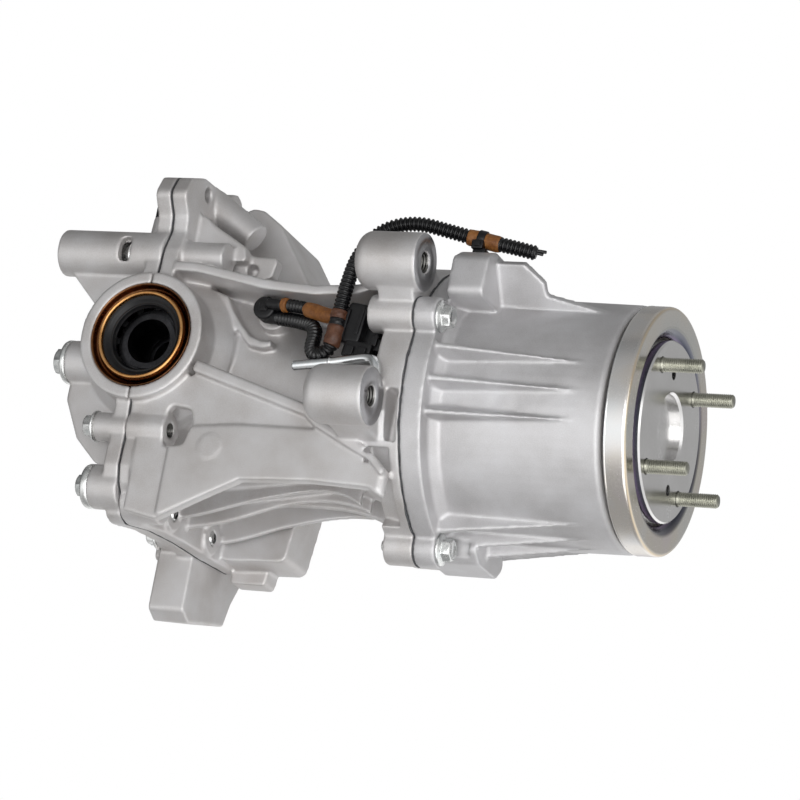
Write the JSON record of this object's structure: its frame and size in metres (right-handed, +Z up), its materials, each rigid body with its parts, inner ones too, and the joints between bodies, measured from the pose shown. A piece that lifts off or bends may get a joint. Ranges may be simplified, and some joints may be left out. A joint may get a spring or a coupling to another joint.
{
  "type": "rear differential",
  "caption": "Rear differential with a ribbed round clutch housing, stud input flange, bolted carrier halves and two side outputs",
  "frame": {"origin": "middle of the input flange's stud circle, on the flange's front face", "axes": "+X along the input and pinion axis, out of the input flange; +Z up; -Y towards the left output; the outputs' axle runs along Y, behind and above the origin's axis"},
  "size_m": [0.4724, 0.274, 0.2948],
  "materials": {
    "cast_aluminium": "die-cast, matt, lightly speckled; machined faces brighter",
    "sealant": "dark sealing bead",
    "zinc": "zinc plated",
    "seal_rubber": "brown-black moulded rubber with a bronze-coloured ring",
    "black_plastic": "moulded, satin",
    "conduit": "corrugated, satin",
    "tape": "orange-brown cloth tape",
    "plated_sheet": "pressed sheet, iridescent zinc",
    "copper_coil": "resin-dipped winding in a steel cup",
    "bronze": "plain bronze",
    "machined_steel": "turned and ground",
    "bearing_steel": "ground and polished",
    "clutch_steel": "oiled friction discs",
    "cast_iron": "machined cast iron"
  },
  "bodies": {
    "housing": {"carrier_case": "cast_aluminium", "rear_cover": "cast_aluminium", "coupling_housing": "cast_aluminium", "rear_gasket": "sealant", "front_gasket": "sealant", "cover_bolts": "zinc", "housing_bolts": "zinc", "long_bolt": "zinc", "low_bolt": "zinc", "fill_plug": "zinc", "input_seal": "seal_rubber", "input_bearing_outer": "bearing_steel", "coil": "copper_coil", "pinion_seal": "seal_rubber", "head_bearing_cup": "bearing_steel", "tail_bearing_cup": "bearing_steel", "side_bearing_cups": "bearing_steel", "output_seals": "seal_rubber", "breather_cap": "black_plastic", "breather_pipe": "zinc", "round_sensor": "black_plastic", "sensor_lead": "conduit", "harness_conduit": "conduit", "harness_connector": "black_plastic", "harness_ties": "tape"},
    "input_shaft": {"input_flange": "machined_steel", "input_studs": "zinc", "dust_cover": "plated_sheet", "input_bearing_inner": "bearing_steel", "coupling_drum": "machined_steel", "rotor": "machined_steel", "outer_plates": "clutch_steel", "pilot_plates": "clutch_steel", "armature": "machined_steel"},
    "input_balls": {"input_bearing_balls": "bearing_steel"},
    "pinion": {"drive_pinion": "machined_steel", "pinion_spacer": "machined_steel", "pinion_nut": "machined_steel", "head_bearing_cone": "bearing_steel", "tail_bearing_cone": "bearing_steel", "coupling_hub": "machined_steel", "inner_plates": "clutch_steel", "main_cam": "machined_steel", "cam_balls": "bearing_steel"},
    "pilot_cam": {"pilot_cam": "machined_steel", "pilot_inner_plate": "clutch_steel"},
    "head_rollers": {"head_bearing_rollers": "bearing_steel"},
    "tail_rollers": {"tail_bearing_rollers": "bearing_steel"},
    "differential": {"diff_case": "cast_iron", "ring_gear": "machined_steel", "ring_bolts": "bearing_steel", "spider_pin": "bearing_steel", "lock_pin": "bearing_steel", "thrust_washers": "bronze", "side_bearing_cones": "bearing_steel"},
    "side_rollers": {"side_bearing_rollers": "bearing_steel"},
    "left_side_gear": {"side_gear_left": "machined_steel"},
    "right_side_gear": {"side_gear_right": "machined_steel"},
    "upper_spider": {"spider_gear_upper": "machined_steel"},
    "lower_spider": {"spider_gear_lower": "machined_steel"}
  },
  "joints": [
    {"name": "input_spin", "type": "hinge", "parent": "housing", "child": "input_shaft", "pos_m": [-0.04, 0, 0], "axis": [1, 0, 0], "continuous": true},
    {"name": "input_ball_orbit", "type": "hinge", "parent": "housing", "child": "input_balls", "pos_m": [-0.04, 0, 0], "axis": [1, 0, 0], "continuous": true},
    {"name": "diff_spin", "type": "hinge", "parent": "housing", "child": "differential", "pos_m": [-0.3576, 0, 0.0195], "axis": [0, 1, 0], "continuous": true},
    {"name": "pinion_spin", "type": "hinge", "parent": "housing", "child": "pinion", "pos_m": [-0.25, 0, 0], "axis": [1, 0, 0], "continuous": true},
    {"name": "head_roller_orbit", "type": "hinge", "parent": "housing", "child": "head_rollers", "pos_m": [-0.27, 0, 0], "axis": [1, 0, 0], "continuous": true},
    {"name": "tail_roller_orbit", "type": "hinge", "parent": "housing", "child": "tail_rollers", "pos_m": [-0.2, 0, 0], "axis": [1, 0, 0], "continuous": true},
    {"name": "side_roller_orbit", "type": "hinge", "parent": "housing", "child": "side_rollers", "pos_m": [-0.3576, 0, 0.0195], "axis": [0, 1, 0], "continuous": true},
    {"name": "pilot_cam_turn", "type": "hinge", "parent": "pinion", "child": "pilot_cam", "pos_m": [-0.12, 0, 0], "axis": [1, 0, 0], "range_deg": [-2.5, 2.5]},
    {"name": "left_gear_spin", "type": "hinge", "parent": "differential", "child": "left_side_gear", "pos_m": [-0.3576, 0, 0.0195], "axis": [0, 1, 0], "continuous": true},
    {"name": "right_gear_spin", "type": "hinge", "parent": "differential", "child": "right_side_gear", "pos_m": [-0.3576, 0, 0.0195], "axis": [0, 1, 0], "continuous": true},
    {"name": "upper_spider_spin", "type": "hinge", "parent": "differential", "child": "upper_spider", "pos_m": [-0.3576, 0, 0.0195], "axis": [0, 0, 1], "continuous": true},
    {"name": "lower_spider_spin", "type": "hinge", "parent": "differential", "child": "lower_spider", "pos_m": [-0.3576, 0, 0.0195], "axis": [0, 0, 1], "continuous": true}
  ],
  "couplings": [
    {"joint": "input_ball_orbit", "follows": "input_spin", "ratio": 0.4283},
    {"joint": "pinion_spin", "follows": "diff_spin", "ratio": -2.4667},
    {"joint": "head_roller_orbit", "follows": "diff_spin", "ratio": -1.036},
    {"joint": "tail_roller_orbit", "follows": "diff_spin", "ratio": -1.036},
    {"joint": "side_roller_orbit", "follows": "diff_spin", "ratio": 0.42},
    {"joint": "right_gear_spin", "follows": "left_gear_spin", "ratio": -1},
    {"joint": "upper_spider_spin", "follows": "left_gear_spin", "ratio": 1.6},
    {"joint": "lower_spider_spin", "follows": "left_gear_spin", "ratio": -1.6}
  ]
}
